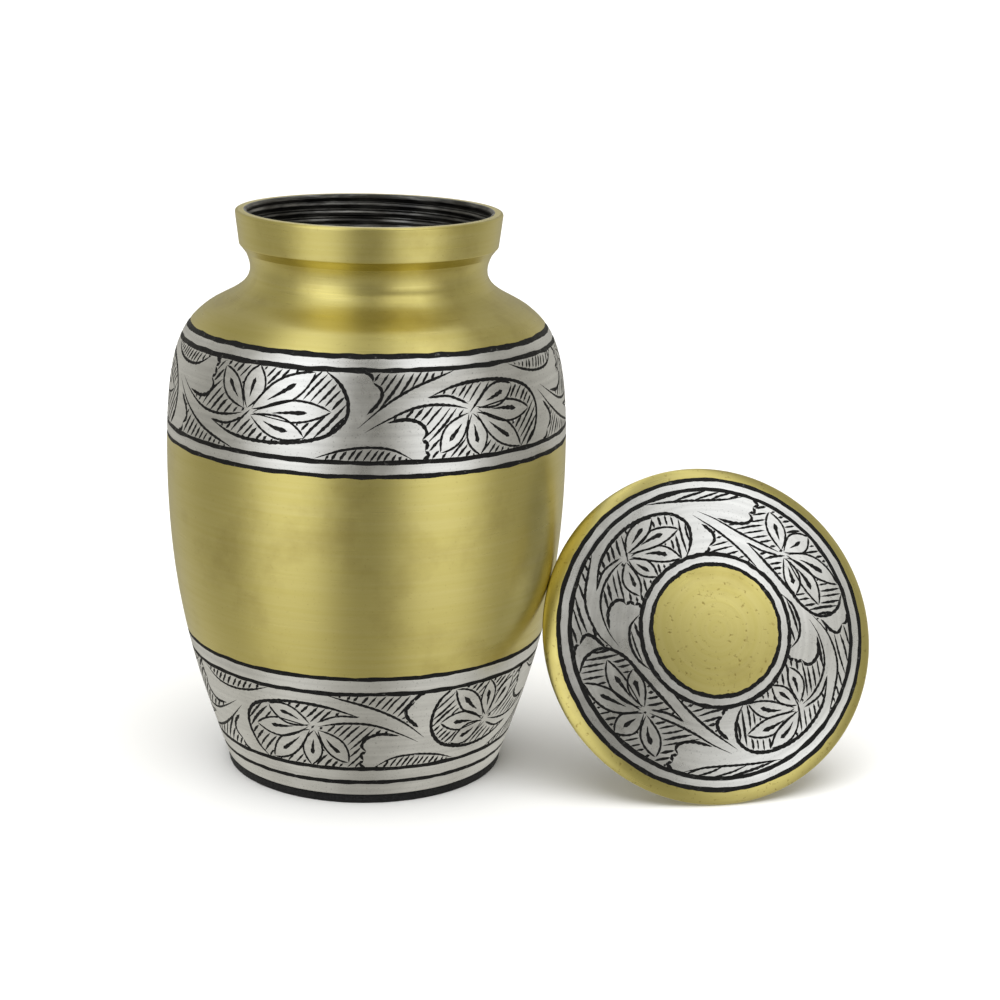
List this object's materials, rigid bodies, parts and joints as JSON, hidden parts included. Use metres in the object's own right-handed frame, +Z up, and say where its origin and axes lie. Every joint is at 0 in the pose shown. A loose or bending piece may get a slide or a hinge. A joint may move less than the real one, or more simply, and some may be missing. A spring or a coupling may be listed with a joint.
{
  "type": "cremation urn",
  "caption": "Small brass cremation urn with engraved flower bands and a screw lid, which is off and leans against the urn's side.",
  "frame": {"origin": "centre of the felt pad's underside, on the surface that the urn stands on", "axes": "+Z up along the urn's axis, out of its mouth; +X towards the lid that leans on its right side; -Y the front"},
  "size_m": [0.1822, 0.102, 0.1444],
  "materials": {
    "urn_brass": "satin turned brass, engraved fields silvery with black patina",
    "lid_brass": "satin turned brass, engraved field silvery with black patina",
    "felt": "black felt"
  },
  "bodies": {
    "root": {"urn_body": "urn_brass", "screw_lid": "lid_brass", "felt_base_pad": "felt"}
  },
  "joints": []
}
